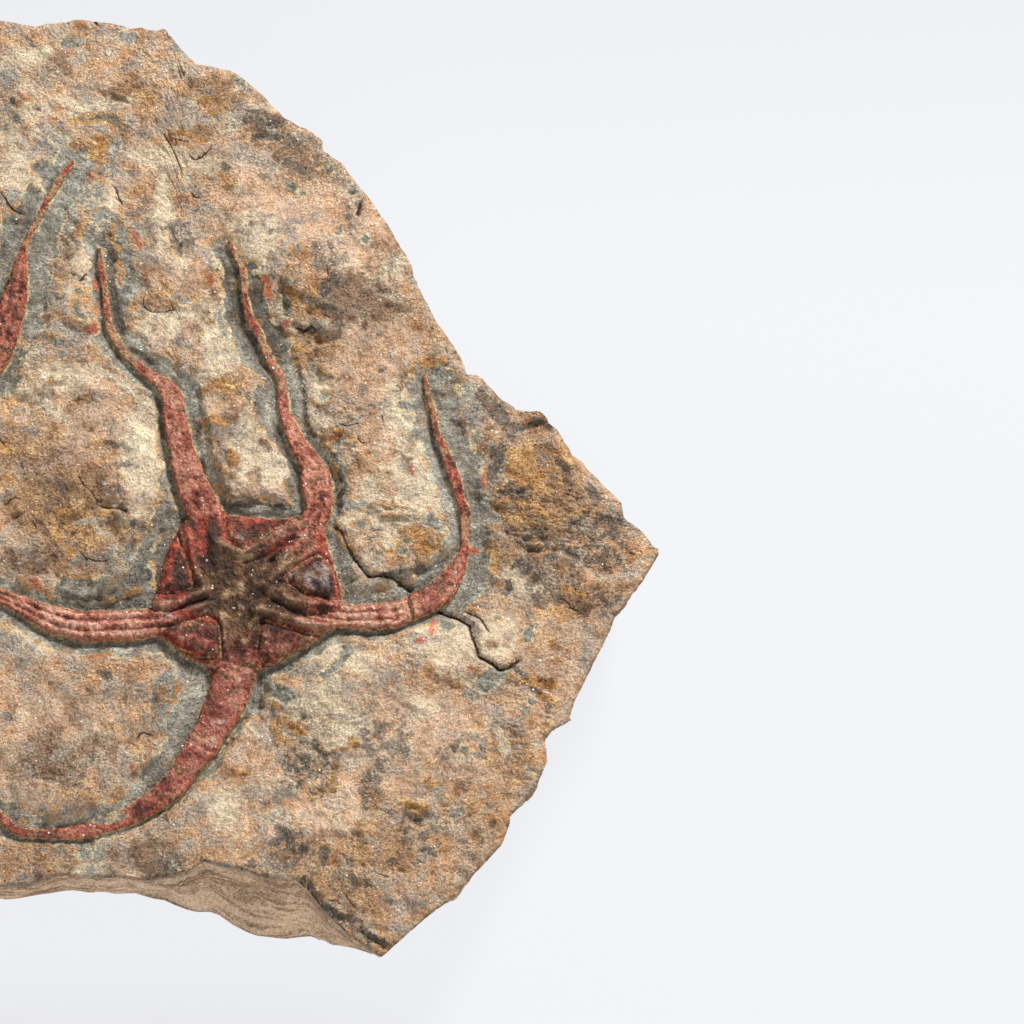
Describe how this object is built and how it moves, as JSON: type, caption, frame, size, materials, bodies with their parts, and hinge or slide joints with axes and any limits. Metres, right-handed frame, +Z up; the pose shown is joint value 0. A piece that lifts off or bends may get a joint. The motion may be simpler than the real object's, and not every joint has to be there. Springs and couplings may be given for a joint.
{
  "type": "brittle star fossil",
  "caption": "Broken siltstone slab lying on its back, with reddish brittle stars in low relief on its face: a disc with slender curling arms, and a smaller one beside it.",
  "frame": {"origin": "on the resting plane, under the middle of the slab's outline box", "axes": "+X to the slab's pointed end, +Y to its rounded top edge, +Z up out of the fossil face, with the slab lying on its back"},
  "size_m": [0.232, 0.218, 0.0279],
  "materials": {
    "siltstone": "rough broken siltstone, ochre and tan with cream and grey patches",
    "red_fossil": "finely granular iron-red fossil, matt",
    "dark_fossil": "finely granular dark red-brown fossil, matt"
  },
  "bodies": {
    "root": {"matrix_slab": "siltstone", "large_star_disc": "dark_fossil", "large_star_arm_upper_left": "red_fossil", "large_star_arm_upper": "red_fossil", "large_star_arm_right": "red_fossil", "large_star_arm_lower": "red_fossil", "large_star_arm_left": "red_fossil", "small_star_disc": "dark_fossil", "small_star_arm_upper_right": "red_fossil", "small_star_arm_upper": "red_fossil", "small_star_arm_left": "red_fossil", "small_star_arm_lower_left": "red_fossil", "small_star_arm_lower_right": "red_fossil"}
  },
  "joints": []
}
